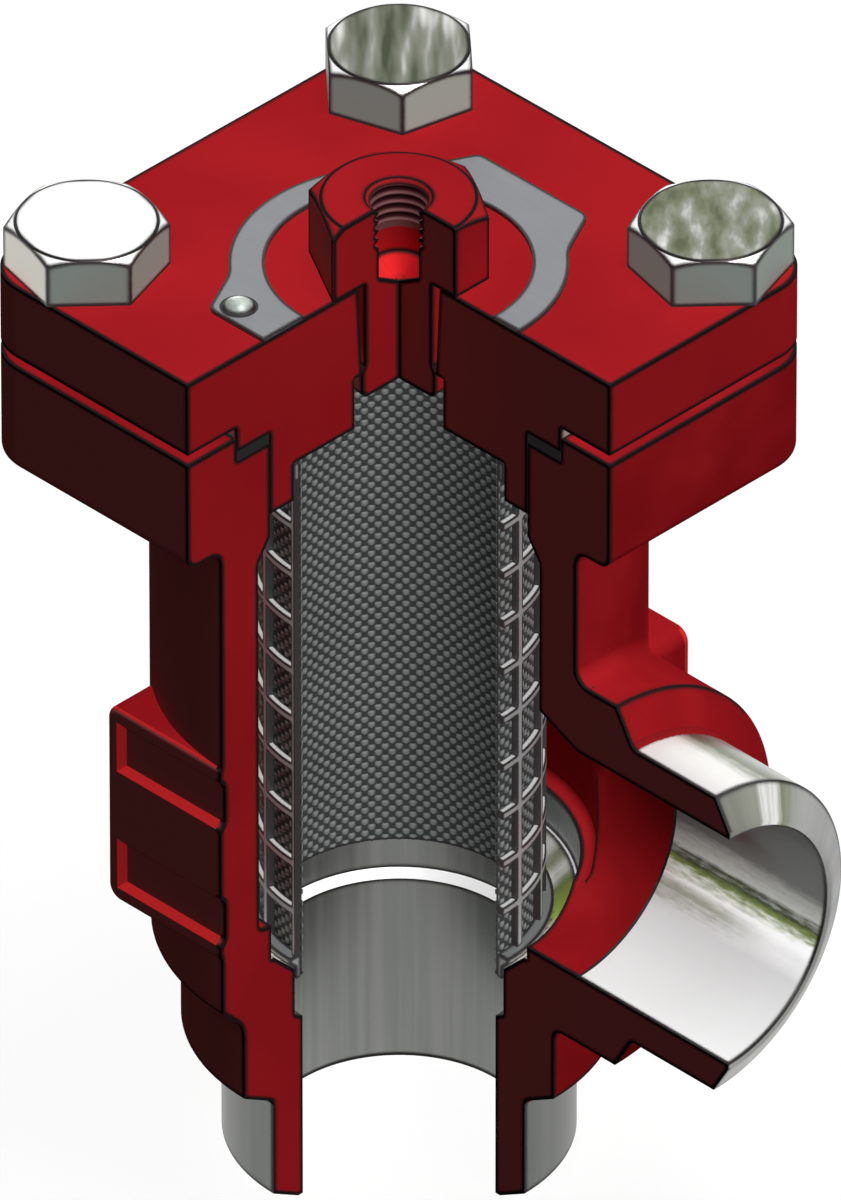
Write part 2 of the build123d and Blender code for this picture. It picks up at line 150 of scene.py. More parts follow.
# A material: settings go straight on the shader, and build(tree) returns what varies
def finish(name, settings, build):
    material = bpy.data.materials.new(name)
    material.use_nodes = True
    shader = material.node_tree.nodes["Principled BSDF"]
    for socket, value in settings.items():
        shader.inputs[socket].default_value = value
    for socket, value in build(Tree(material.node_tree)).items():
        material.node_tree.links.new(value.socket, shader.inputs[socket])
    return material


# Finishes

inkLine = {  # the dark line that runs along every sharp edge
    "reach": 1.1 * mm,
    "fineReach": 0.80 * mm,
    "ring": 0.2 * mm,  # half the width of a line round a crown or a hole
    "full": 0.985,  # how alike the plain and the rounded normal are
    "none": 0.998,
    "samples": 12,
    "colour": colour(35, 31, 32),
}
section = {  # the two flat faces where the quarter is cut away
    "x": 0.1 * mm,
    "y": -0.1 * mm,
    "slack": 0.02 * mm,
}


def inked(tree, base, reach=inkLine["reach"], share=1.0):
    return tree.mix(tree.edges(reach) * share, base, inkLine["colour"])


def magnitude(value):
    return value.math("ABSOLUTE", value)


def outward(x, y):  # how far a point is from the body's axis
    return x.math("SQRT", x * x + y * y)


def ringLine(x, y, radius):  # 1 along a circle about the axis that x and y start from
    return magnitude(outward(x, y) - radius) < inkLine["ring"]


def onSection(x, y):  # 1 on the two faces of the cut
    across = magnitude(x - section["x"]) < section["slack"]
    along = magnitude(y - section["y"]) < section["slack"]
    return across.math("MAXIMUM", across, along)


redPaint = {
    "colour": colour(163, 28, 34),
    "worn": colour(148, 22, 28),
    "fresh": colour(176, 32, 38),
    # painted highlight: the red of faces painted as if brightly lit
    "highlightRed": colour(226, 44, 46),
    # painted shade: the paler, greyer red that faces looking along -Y are tinted towards
    "shadeTint": colour(163, 78, 78),
    "front": (-0.55, -0.9),  # how far a face looks along Y where the painted shade tint starts and is full
    "shine": 0.0,
    "roughness": 0.5,
    "spread": 0.08,  # how much rougher the freshest patches are
    "patches": 38,
    "patchFade": (0.3, 0.7),
    "skin": 900,
    "skinStrength": 0.12,
    "skinDepth": 0.03 * mm,
}


def shadeTinted(tree, base):  # painted shade: the outside and cut faces that look along -Y are tinted towards a paler, greyer red, as the colour of their shade
    front = tree.fade(tree.facing("Y"), *redPaint["front"]) * (tree.along("Y") < 0.0)
    return tree.mix(front, base, redPaint["shadeTint"])


def smoothRed(tree):  # the paint of the machined and cut faces, and its patches, with the painted shade tint on faces that look along -Y
    patches = tree.noise(redPaint["patches"], 2)
    shade = tree.mix(tree.fade(patches, *redPaint["patchFade"]), redPaint["colour"], redPaint["fresh"])
    return shadeTinted(tree, shade), patches


def smoothSkin(tree):
    return tree.bump(tree.noise(redPaint["skin"], 2), redPaint["skinStrength"], redPaint["skinDepth"])


castPaint = {  # rougher than the smooth paint
    "patches": 45,
    "patchFade": (0.35, 0.65),
    "grain": 1400,
    "grainFade": (0.62, 0.75),
    "grainShare": 0.25,
    "lumps": 420,
    "lumpShare": 0.8,
    "bumpStrength": 0.35,
    "bumpDepth": 0.06 * mm,
    "spread": 0.1,
}
namePad = {  # no line runs along the pads' edges, and their panels' walls that look up or along X are painted bright red as highlights
    "middle": 54.75 * mm,
    "reach": 14.6 * mm,
    "barrel": 27.0 * mm,
    "side": 18.0 * mm,
    "cut": 0.8 * mm,
    "panel": 28.8 * mm,
    "wall": (0.5, 0.7),  # how far a wall looks up, or along X
    "level": (0.8, 0.95),
}


def paintedCasting(tree):
    patches = tree.noise(castPaint["patches"], 3)
    grain = tree.noise(castPaint["grain"], 3)
    base = tree.mix(tree.fade(patches, *castPaint["patchFade"]), redPaint["worn"], redPaint["fresh"])
    grainShare = tree.fade(grain, *castPaint["grainFade"]) * castPaint["grainShare"]
    base = shadeTinted(tree, tree.mix(grainShare, base, redPaint["worn"]))
    x, y, up = tree.along("X"), tree.along("Y"), tree.facing("Z")
    out, height = magnitude(y), magnitude(tree.along("Z") - namePad["middle"])
    cutEdge = (magnitude(x) < namePad["cut"]) * (y < 0.0)
    pad = (outward(x, y) > namePad["barrel"]) * (out > namePad["side"])
    pad = pad * (height < namePad["reach"]) * (1 - cutEdge)
    sloping = tree.fade(up, *namePad["wall"]) * (1 - tree.fade(up, *namePad["level"]))
    wall = sloping + tree.fade(tree.facing("X"), *namePad["wall"])
    # painted highlight on the panels' walls
    base = tree.mix(pad * wall * (out > namePad["panel"]), base, redPaint["highlightRed"])
    lumps = tree.noise(castPaint["lumps"], 2) * castPaint["lumpShare"]
    return {
        "Base Color": inked(tree, base, share=1 - pad),
        "Roughness": redPaint["roughness"] + patches * castPaint["spread"],
        "Normal": tree.bump(grain + lumps, castPaint["bumpStrength"], castPaint["bumpDepth"]),
    }


def paintedSmooth(tree):
    base, patches = smoothRed(tree)
    return {
        "Base Color": inked(tree, base),
        "Roughness": redPaint["roughness"] + patches * redPaint["spread"],
        "Normal": smoothSkin(tree),
    }


coverSteel = {  # where the cover is turned to fit the housing
    "top": 116.38 * mm,
    "reach": 27.0 * mm,
    "colour": colour(186, 187, 184),
    "metal": 0.2,
}


def coverPaint(tree):  # red, but bare where the cover is turned
    x, y, z = tree.along("X"), tree.along("Y"), tree.along("Z")
    turned = (z < coverSteel["top"]) * (outward(x, y) < coverSteel["reach"]) * (1 - onSection(x, y))
    base, patches = smoothRed(tree)
    return {
        "Base Color": inked(tree, tree.mix(turned, base, coverSteel["colour"])),
        "Metallic": turned * coverSteel["metal"],
        "Roughness": redPaint["roughness"] + patches * redPaint["spread"],
        "Normal": smoothSkin(tree),
    }


plugHole = {
    "reach": 4.02 * mm,
    "top": 136.1 * mm,
    "threadTop": 135.55 * mm,
    "threadBottom": 129.6 * mm,
    "tipTop": 126.25 * mm,
    "tipBottom": 124.0 * mm,
    "tipFade": (-2.0 * mm, 3.0 * mm),
    "tipShaded": colour(180, 26, 32),
    "rimHighlight": 0.5,
    "crownRing": 9.15 * mm,
    "rimRing": 3.95 * mm,
    "level": 0.8,  # how far a face with those two rings looks up
    "threadDepth": (3.42 * mm, 3.85 * mm),
    "crest": colour(118, 78, 79),
    "root": colour(40, 13, 16),
    "metal": 0.15,
    "spread": 0.06,
}


def plugPaint(tree):  # red, with a dull brown thread in its hole that has painted highlights on its crests and painted shade in its roots, a painted highlight round the top of the hole, and a drill point painted bright, shading to a darker red where x + y is larger
    x, y, z = tree.along("X"), tree.along("Y"), tree.along("Z")
    radius = outward(x, y)
    hole = (radius < plugHole["reach"]) * (z < plugHole["top"]) * (1 - onSection(x, y))
    thread = hole * (z > plugHole["threadBottom"]) * (z < plugHole["threadTop"])
    tip = hole * (z < plugHole["tipTop"]) * (z > plugHole["tipBottom"])
    base, patches = smoothRed(tree)
    # painted light on the drill point: bright red where x + y is small, a darker red where it is larger
    tipShade = tree.mix(tree.fade(x + y, *plugHole["tipFade"]), redPaint["highlightRed"], plugHole["tipShaded"])
    # painted highlight round the top of the hole, above the thread
    base = tree.mix(hole * (z > plugHole["threadTop"]) * plugHole["rimHighlight"], base, redPaint["highlightRed"])
    base = tree.mix(tip, base, tipShade)
    rings = ringLine(x, y, plugHole["crownRing"]) + ringLine(x, y, plugHole["rimRing"])
    rings = rings * (tree.facing("Z") > plugHole["level"])
    # painted highlights on the thread's crests and painted shade in its roots
    threadShade = tree.mix(tree.fade(radius, *plugHole["threadDepth"]), plugHole["crest"], plugHole["root"])
    return {
        "Base Color": tree.mix(thread, tree.mix(rings, inked(tree, base), inkLine["colour"]), threadShade),
        "Metallic": thread * plugHole["metal"],
        "Roughness": redPaint["roughness"] + patches * plugHole["spread"],
        "Normal": smoothSkin(tree),
    }


turnedSteel = {
    # painted reflections: the dark and light streaks
    "dark": colour(118, 120, 117),
    "light": colour(130, 131, 128),
    "outside": colour(80, 84, 80),
    "outsideShare": 0.4,
    "outsideFrom": 18 * mm,
    "streaks": (9, 12),  # scales round the axis and along it
    "streakFade": (0.35, 0.65),
    "fine": (60, 9),
    "fineFade": (0.70, 0.78),
    "fineWithin": (0.5, 0.6),
    "rings": (3, 5200),
    "up": (0.6, 0.8),  # how far the ledge looks up
    # painted glint
    "glint": colour(205, 203, 190),
    "glintShare": 0.7,
    # painted white highlight on the ledge
    "ledgeHighlight": colour(255, 255, 255),
    "ledgeBack": (-6 * mm, 4 * mm),  # the painted ledge highlight is at the back, where y is larger than x
    "ledgeBare": 0.95,  # how much less metallic it looks
    "roughness": 0.28,
    "spread": 0.2,
    "bumpStrength": 0.15,
    "bumpDepth": 0.02 * mm,
}


def turnedAboutUpright(tree):  # bare steel turned about the body's axis, with painted reflection streaks and glints up and down it, darker on the outside, and a painted white highlight on the ledge at the back
    x, y, z = tree.along("X"), tree.along("Y"), tree.along("Z")
    turn = x.math("ARCTAN2", y, x)
    streaks = tree.grain(turn, z, turnedSteel["streaks"], 3)
    fine = tree.grain(turn, z, turnedSteel["fine"], 2, 3.0)
    rings = tree.grain(turn, z, turnedSteel["rings"], 2)
    base = tree.mix(tree.fade(streaks, *turnedSteel["streakFade"]), turnedSteel["dark"], turnedSteel["light"])
    glint = tree.fade(fine, *turnedSteel["fineFade"]) * tree.fade(streaks, *turnedSteel["fineWithin"])
    base = tree.mix(glint * turnedSteel["glintShare"], base, turnedSteel["glint"])
    outside = (outward(x, y) > turnedSteel["outsideFrom"]) * turnedSteel["outsideShare"]
    base = tree.mix(outside, base, turnedSteel["outside"])
    ledgeHighlight = tree.fade(tree.facing("Z"), *turnedSteel["up"]) * tree.fade(y - x, *turnedSteel["ledgeBack"])
    return {
        "Base Color": tree.mix(ledgeHighlight, inked(tree, base), turnedSteel["ledgeHighlight"]),
        "Metallic": 1 - ledgeHighlight * turnedSteel["ledgeBare"],
        "Roughness": turnedSteel["roughness"] + streaks * turnedSteel["spread"],
        "Normal": tree.bump(rings, turnedSteel["bumpStrength"], turnedSteel["bumpDepth"]),
    }


outletSteel = {
    "axis": 55.0 * mm,  # height of the outlet's axis
    "smear": 0.07,
    "smears": (30, 22),  # scales round the axis and along it
    "speckle": 0.03,
    "speckles": (110, 500),
    "flareEnd": 30.2 * mm,  # a dark line runs along where the cast flare begins
    "streaksFrom": (38 * mm, 50 * mm),
    "plainFrom": (0.63, 0.66),
    "bareFrom": (0.66, 0.76),
    # painted highlight on the lower part of the bore
    "highlightWhite": colour(255, 255, 255),
    "roughness": 0.22,
    "spread": 0.2,
    "pipeMetal": 0.25,
    "pipeMetalFrom": (0.09, 0.16),
    "bevel": (0.3, 0.5),  # how far the bevel looks along X
    "bevelSmear": 0.06,
    "land": 0.95,  # how far the flat end of the pipe looks along X
}


def outletTurn(tree):  # 0 at the top of the outlet's axis and 1 at its bottom, blurred along it
    x, y, z = tree.along("X"), tree.along("Y"), tree.along("Z")
    turn = magnitude(x.math("ARCTAN2", y, z - outletSteel["axis"])) / pi
    smear = tree.grain(turn, x, outletSteel["smears"], 3)
    speckle = tree.grain(turn, x, outletSteel["speckles"], 3)
    blur = (smear - 0.5) * outletSteel["smear"] + (speckle - 0.5) * outletSteel["speckle"]
    return turn + blur, smear


def outletBore(tree):
    turn, smear = outletTurn(tree)
    # painted reflections round the bore: dark grey at the top, olive streaks and white bands at the middle,
    # and white below as a painted highlight
    reflectionStreaked = tree.ramp(turn, [
        (0.00, colour(60, 61, 59)),
        (0.30, colour(78, 79, 77)),
        (0.52, colour(98, 99, 96)),
        (0.585, colour(176, 177, 172)),
        (0.605, colour(62, 66, 50)),
        (0.625, colour(118, 132, 78)),
        (0.65, colour(250, 250, 248)),
        (0.69, colour(168, 171, 154)),
        (0.72, colour(252, 252, 252)),
        (1.00, colour(255, 255, 255)),
    ])
    plain = tree.mix(tree.fade(turn, *outletSteel["plainFrom"]), reflectionStreaked, outletSteel["highlightWhite"])
    base = tree.mix(tree.fade(tree.along("X"), *outletSteel["streaksFrom"]), reflectionStreaked, plain)
    base = tree.mix(tree.along("X") < outletSteel["flareEnd"], base, inkLine["colour"])
    return {
        "Base Color": inked(tree, base),
        "Metallic": 1 - tree.fade(turn, *outletSteel["bareFrom"]),
        "Roughness": outletSteel["roughness"] + smear * outletSteel["spread"],
    }


def outletPipe(tree):
    turn, smear = outletTurn(tree)
    # painted reflections round the pipe: white at the top, an olive streak, and grey below
    base = tree.ramp(turn, [
        (0.00, colour(254, 254, 252)),
        (0.09, colour(240, 241, 236)),
        (0.14, colour(120, 126, 104)),
        (0.20, colour(176, 177, 172)),
        (0.30, colour(146, 147, 145)),
        (0.60, colour(122, 124, 121)),
        (1.00, colour(150, 151, 148)),
    ])
    # painted reflections on the bevel, with a white highlight
    bevel = tree.ramp(turn + (smear - 0.5) * outletSteel["bevelSmear"], [
        (0.00, colour(122, 124, 114)),
        (0.09, colour(150, 152, 140)),
        (0.13, colour(236, 236, 232)),
        (0.17, colour(126, 132, 108)),
        (0.24, colour(166, 167, 165)),
        (0.55, colour(120, 121, 118)),
        (1.00, colour(148, 150, 147)),
    ])
    base = tree.mix(tree.fade(tree.facing("X"), *outletSteel["bevel"]), base, bevel)
    lined = inked(tree, base, inkLine["fineReach"] / 2)
    metal = tree.fade(turn, *outletSteel["pipeMetalFrom"]) * (1 - outletSteel["pipeMetal"])
    return {
        "Base Color": tree.mix(tree.facing("X") > outletSteel["land"], inked(tree, base), lined),
        "Metallic": outletSteel["pipeMetal"] + metal,
        "Roughness": outletSteel["roughness"] + smear * outletSteel["spread"],
    }


seatShade = {
    "dark": colour(138, 145, 147),
    "light": colour(160, 167, 168),
    "smear": 0.05,
    "smears": (60, 260),
    "cone": (0.5, 0.65),  # how far the cone looks up
    "ledgeHighlight": (0.85, 0.95),  # and the ledge
    "lineReach": inkLine["fineReach"] * 0.65,
    "metal": 0.3,
    "roughness": 0.2,
    "spread": 0.2,
}


def seatSteel(tree):  # the bored step below the chamber, with painted olive and white reflections on its cone beside the outlet, and a painted white highlight on its ledge
    x, y, z = tree.along("X"), tree.along("Y"), tree.along("Z")
    turn = x.math("ARCTAN2", y, x) / pi
    smear = tree.grain(turn, z, seatShade["smears"], 4)
    # painted reflections on the cone: white, olive and pale bands round the axis
    reflectionStreaked = tree.ramp(turn + (smear - 0.5) * seatShade["smear"], [
        (0.13, colour(255, 246, 236)),
        (0.165, colour(214, 210, 190)),
        (0.19, colour(178, 204, 78)),
        (0.25, colour(150, 170, 70)),
        (0.285, colour(128, 140, 84)),
        (0.33, colour(255, 255, 250)),
        (0.365, colour(150, 156, 120)),
        (0.40, colour(250, 250, 245)),
        (0.45, colour(190, 197, 186)),
    ])
    up = tree.facing("Z")
    base = tree.mix(smear, seatShade["dark"], seatShade["light"])
    base = tree.mix(tree.fade(up, *seatShade["cone"]), base, reflectionStreaked)
    ledgeHighlight = tree.fade(up, *seatShade["ledgeHighlight"])
    lined = inked(tree, tree.mix(ledgeHighlight, base, turnedSteel["ledgeHighlight"]), seatShade["lineReach"])
    return {
        "Base Color": tree.mix(ledgeHighlight, inked(tree, base), lined),
        "Roughness": seatShade["roughness"] + smear * seatShade["spread"],
    }


boltShine = {
    # painted light: shaded grey sides, lighter where they look along X and paler on the left, and white
    # highlights on the cut-back corners and the top
    "side": colour(104, 113, 108),
    "sideRight": colour(146, 155, 148),
    "sideLight": colour(232, 230, 220),
    "sideMetal": 0.05,
    "corner": colour(246, 246, 245),
    "top": colour(250, 250, 250),
    "crown": 8.4 * mm,
    "place": 25.88 * mm,  # of the axis, from both centre planes
    "diagonal": 0.7071,  # turns the streaks by an eighth of a turn
    "streaks": (380, 60),
    "spots": (360, 130),
    "left": (0.1, -0.1),  # how far a side looks along X
    "right": (0.7, 0.9),
    "chamfer": (0.4, 0.6),  # how far the head's cut-back corners look up
    "flat": (0.93, 0.97),
    "level": 0.8,
    "roughness": 0.42,
    "smoother": 0.14,  # by how much the top is
    "spread": 0.1,
    "shine": 0.25,
}


# Plated steel with its light painted in: the top is painted white as a reflection, with painted olive
# reflection streaks or mottling across it, the sides are painted as shaded grey, lighter where they look
# along X, and lit is how pale the painted light on the left side is
def boltSteel(reflectionStreaked, reflectionMottled, lit):
    def build(tree):
        x, y, up = tree.along("X"), tree.along("Y"), tree.facing("Z")
        across, along = (x + y) * boltShine["diagonal"], (x - y) * boltShine["diagonal"]
        streaks = tree.grain(across, along, boltShine["streaks"], 2)
        spots = tree.grain(across, along, boltShine["spots"], 3, 5.0)
        streakReflection = tree.ramp(streaks, [
            (0.34, colour(66, 72, 54)),
            (0.44, colour(104, 108, 92)),
            (0.56, colour(136, 138, 128)),
            (0.70, colour(214, 214, 210)),
        ])
        fleckReflection = tree.ramp(spots, [
            (0.34, colour(92, 98, 74)),
            (0.44, colour(118, 124, 100)),
            (0.56, colour(146, 149, 138)),
            (0.72, colour(226, 226, 222)),
        ])
        crown = tree.mix(reflectionStreaked, boltShine["top"], streakReflection)
        crown = tree.mix(reflectionMottled, crown, fleckReflection)
        rightward = tree.fade(tree.facing("X"), *boltShine["right"])
        leftward = tree.fade(tree.facing("X"), *boltShine["left"]) * lit
        side = tree.mix(rightward, boltShine["side"], boltShine["sideRight"])
        side = tree.mix(leftward, side, boltShine["sideLight"])
        top = tree.fade(up, *boltShine["chamfer"])
        base = tree.mix(top, side, boltShine["corner"])
        base = tree.mix(tree.fade(up, *boltShine["flat"]), base, crown)
        fromAxis = [magnitude(value) - boltShine["place"] for value in (x, y)]
        rim = ringLine(*fromAxis, boltShine["crown"]) * (up > boltShine["level"])
        return {
            "Base Color": tree.mix(rim, inked(tree, base), inkLine["colour"]),
            "Metallic": boltShine["sideMetal"] + top * (1 - boltShine["sideMetal"]),
            "Roughness": boltShine["roughness"] - boltShine["smoother"] * top + streaks * boltShine["spread"],
        }
    return build


plate = {
    "dark": colour(124, 126, 130),
    "light": colour(138, 140, 143),
    "brushed": (150, 2600),
    "metal": 0.6,
    "roughness": 0.42,
    "spread": 0.15,
    "bumpStrength": 0.08,
    "bumpDepth": 0.01 * mm,
}
rivet = {
    "x": -6.7 * mm,
    "y": -19.8 * mm,
    "rim": 2.1 * mm,
    "dark": colour(150, 161, 154),
    "light": colour(198, 206, 201),
    "spots": 420,
    "spotFade": (0.35, 0.65),
    "metal": 0.25,
    "roughness": 0.36,
    "spread": 0.15,
}


def plateSheet(tree):
    brushed = tree.grain(tree.along("X"), tree.along("Y"), plate["brushed"], 3)
    base = inked(tree, tree.mix(brushed, plate["dark"], plate["light"]), inkLine["fineReach"])
    rim = ringLine(tree.along("X") - rivet["x"], tree.along("Y") - rivet["y"], rivet["rim"])
    return {
        "Base Color": tree.mix(rim, base, inkLine["colour"]),
        "Roughness": plate["roughness"] + brushed * plate["spread"],
        "Normal": tree.bump(brushed, plate["bumpStrength"], plate["bumpDepth"]),
    }


def rivetSteel(tree):
    spots = tree.noise(rivet["spots"], 2)
    base = tree.mix(tree.fade(spots, *rivet["spotFade"]), rivet["dark"], rivet["light"])
    return {
        "Base Color": inked(tree, base, inkLine["fineReach"]),
        "Roughness": rivet["roughness"] + spots * rivet["spread"],
    }


fibre = {
    "dark": colour(16, 15, 16),
    "light": colour(42, 41, 41),
    "across": 1500,
    "upright": 5000,
    "roughness": 0.75,
    "spread": 0.15,
    "bumpStrength": 0.4,
    "bumpDepth": 0.05 * mm,
    "shine": 0.2,
}


def gasketFibre(tree):
    across = [tree.along(axis) * fibre["across"] for axis in ("X", "Y")]
    fibres = tree.noise(1.0, 4, tree.vector(*across, tree.along("Z") * fibre["upright"]))
    return {
        "Base Color": tree.mix(fibres, fibre["dark"], fibre["light"]),
        "Roughness": fibre["roughness"] + fibres * fibre["spread"],
        "Normal": tree.bump(fibres, fibre["bumpStrength"], fibre["bumpDepth"]),
    }


band = {
    "dark": colour(132, 134, 134),
    "light": colour(150, 152, 152),
    "topHighlight": colour(196, 197, 197),
    "shaded": colour(112, 114, 115),
    "worn": 260,
    "level": (0.5, 0.9),
    "flank": (0.3, 0.6),
    "flankUp": (0.3, 0.5),
    "cageReach": inkLine["fineReach"] * 0.6,
    "roughness": 0.35,
    "spread": 0.15,
    "metal": 0.2,
    "cageMetal": 0.1,
}


# Level is the colour painted on the faces that look up: a pale painted highlight on the cage and head ring,
# and a darker painted shade on the foot ring; side is the share of ink on the flanks of the ribs
def bandSteel(level, side, reach):
    def build(tree):
        x, y, up = tree.along("X"), tree.along("Y"), tree.facing("Z")
        worn = tree.noise(band["worn"], 3)
        base = tree.mix(worn, band["dark"], band["light"])
        base = tree.mix(tree.fade(up, *band["level"]), base, level)
        radial = (tree.facing("X") * x + tree.facing("Y") * y) / outward(x, y)
        flank = 1 - tree.fade(magnitude(radial), *band["flank"])
        dark = flank * (1 - tree.fade(up, *band["flankUp"])) * side
        base = tree.mix(dark, base, inkLine["colour"])
        return {
            "Base Color": inked(tree, base, reach),
            "Roughness": band["roughness"] + worn * band["spread"],
        }
    return build


wireShade = {
    "middle": 16.25 * mm,
    "reach": 0.30 * mm,
    "depth": (0.0, 0.8),  # shares of that reach
    "diveShade": colour(46, 48, 48),
    "crown": colour(108, 111, 110),
    "wornCrown": colour(122, 124, 123),
    "core": colour(40, 42, 42),
    "wornCore": colour(52, 54, 53),
    "hem": 32.3 * mm,  # the screen's lower end is dark up to here
    "patches": 60,
    "roughness": 0.4,
    "coreRoughness": 0.6,
    "spread": 0.1,
    "shine": 0.2,
}


def weftSteel(tree):  # painted highlight where the wire stands out of the weave, painted shade where it dives behind
    out = magnitude(outward(tree.along("X"), tree.along("Y")) - wireShade["middle"])
    patches = tree.noise(wireShade["patches"], 2)
    crown = tree.mix(patches, wireShade["crown"], wireShade["wornCrown"])
    base = tree.mix(tree.fade(out / wireShade["reach"], *wireShade["depth"]), wireShade["diveShade"], crown)
    return {
        "Base Color": tree.mix(tree.along("Z") < wireShade["hem"], base, inkLine["colour"]),
        "Roughness": wireShade["roughness"] + patches * wireShade["spread"],
    }


# the core stands for the warp wires, painted dark as the shade between the wires
def coreSteel(tree):
    patches = tree.noise(wireShade["patches"], 2)
    base = tree.mix(patches, wireShade["core"], wireShade["wornCore"])
    return {
        "Base Color": tree.mix(tree.along("Z") < wireShade["hem"], base, inkLine["colour"]),
        "Roughness": wireShade["coreRoughness"] + patches * wireShade["spread"],
    }


paint = {"Specular IOR Level": redPaint["shine"]}
castRed = finish("castRed", paint, paintedCasting)
cutRed = finish("cutRed", paint, paintedSmooth)
coverRed = finish("coverRed", paint, coverPaint)
plugRed = finish("plugRed", paint, plugPaint)
steelUpright = finish("steelUpright", {}, turnedAboutUpright)
steelBore = finish("steelBore", {"Specular IOR Level": 1.0}, outletBore)
steelPipe = finish("steelPipe", {}, outletPipe)
steelSeat = finish("steelSeat", {"Metallic": seatShade["metal"]}, seatSteel)
plateGrey = finish("plateGrey", {"Metallic": plate["metal"]}, plateSheet)
rivetBright = finish("rivetBright", {"Metallic": rivet["metal"]}, rivetSteel)
gasketBlack = finish("gasketBlack", {"Specular IOR Level": fibre["shine"]}, gasketFibre)
bandMetal = {"Metallic": band["metal"]}
cageSteel = bandSteel(band["topHighlight"], 1.0, band["cageReach"])
cageGrey = finish("cageGrey", {"Metallic": band["cageMetal"]}, cageSteel)
headGrey = finish("headGrey", bandMetal, bandSteel(band["topHighlight"], 0.0, inkLine["fineReach"]))
footGrey = finish("footGrey", bandMetal, bandSteel(band["shaded"], 0.0, inkLine["fineReach"]))
wire = {"Specular IOR Level": wireShade["shine"]}
weftGrey = finish("weftGrey", wire, weftSteel)
coreGrey = finish("coreGrey", wire, coreSteel)
plated = {"Specular IOR Level": boltShine["shine"]}
boltFinishes = {
    "bolt_left": finish("boltBright", plated, boltSteel(0.06, 0.0, 1.0)),
    "bolt_rear": finish("boltStreaked", plated, boltSteel(1.0, 0.0, 0.22)),
    "bolt_right": finish("boltMottled", plated, boltSteel(0.0, 1.0, 0.0)),
}
print("finishes made")


# Small tools for the pieces

def newPiece(name, mesh, body, finishes, replaced=()):
    piece = bpy.data.objects.new(name, mesh)
    bpy.context.scene.collection.objects.link(piece)
    for material in finishes:
        mesh.materials.append(material)
    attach(piece, body)
    if replaced:
        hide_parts(*replaced)
    return piece


def meshFrom(bm, name):
    mesh = bpy.data.meshes.new(name)
    bm.to_mesh(mesh)
    bm.free()
    return mesh


# Housing: the casting's four lengths joined to one closed skin, with a finish for each kind of surface

casting = {
    "lengths": ("housing_inlet", "housing_barrel", "housing_outlet", "housing_flange"),
    "joints": ((2, 43.1 * mm), (0, 31.5 * mm), (2, 98.0 * mm)),  # the axis that each crosses, and where
    "jointSlack": 0.001 * mm,
    "sliverSlack": 0.01 * mm,
    "boreStart": 29.7 * mm,
    "boreReach": 16.45 * mm,
    "pipeStart": 39.45 * mm,
    "footTop": 15.5 * mm,
    "guideReach": 18.0 * mm,
    "guideTop": 34.0 * mm,
    "seat": (33.0 * mm, 41.85 * mm),
    "seatReach": 21.55 * mm,
    "seatClear": 13.0 * mm,  # further than this from the outlet's axis
    "throatFrom": 98.0 * mm,
    "throatReach": 21.6 * mm,
    "recess": (111.5 * mm, 114.8 * mm),
    "recessReach": 27.1 * mm,
    "boltReach": 5.2 * mm,
    "squareOn": 0.99,  # how far a face of the cut looks along its axis
    "sliver": 0.9,  # and a face that lies in a joint
    "sideways": 0.5,  # the most that the wall of a tapped hole looks up or down
    "weld": 0.0001 * mm,  # points of one length closer than this are the same point
    "jointWeld": 0.02 * mm,
    "smoothAngle": radians(32),
}
castingFinishes = {
    "cast": castRed,
    "cut": cutRed,
    "upright": steelUpright,
    "bore": steelBore,
    "pipe": steelPipe,
    "seat": steelSeat,
}


def castingCopy(nodeName):
    bm = bmesh.new()
    bm.from_mesh(nodes[nodeName].data)
    bmesh.ops.remove_doubles(bm, verts=bm.verts, dist=casting["weld"])
    copy = bpy.data.objects.new(nodeName + ".copy", meshFrom(bm, nodeName + ".copy"))
    bpy.context.scene.collection.objects.link(copy)
    return copy


# Which finish a face of the casting has, from where it lies and how it faces
def castingSurface(face):
    place, normal = face.calc_center_median(), face.normal
    radius = hypot(place.x, place.y)
    outletRadius = hypot(place.y, place.z - outletSteel["axis"])
    boltRadius = hypot(abs(place.x) - boltShine["place"], abs(place.y) - boltShine["place"])
    seatBottom, seatTop = casting["seat"]
    recessBottom, recessTop = casting["recess"]
    atBolt = boltRadius < casting["boltReach"] and abs(normal.z) < casting["sideways"]
    clear = outletRadius > casting["seatClear"]
    if abs(place.x - section["x"]) < section["slack"] and abs(normal.x) > casting["squareOn"]:
        return "cut"
    if abs(place.y - section["y"]) < section["slack"] and abs(normal.y) > casting["squareOn"]:
        return "cut"
    if place.x > casting["boreStart"] and outletRadius < casting["boreReach"]:
        return "bore"
    if place.x > casting["pipeStart"]:
        return "pipe"
    if place.z < casting["footTop"]:
        return "upright"
    if place.z < casting["guideTop"] and radius < casting["guideReach"]:
        return "upright"
    if seatBottom < place.z < seatTop and radius < casting["seatReach"] and clear:
        return "seat"
    if place.z > casting["throatFrom"] and radius < casting["throatReach"]:
        return "upright"
    if recessBottom < place.z < recessTop and radius < casting["recessReach"]:
        return "upright"
    if place.z > casting["throatFrom"] and atBolt:
        return "upright"
    return "cast"


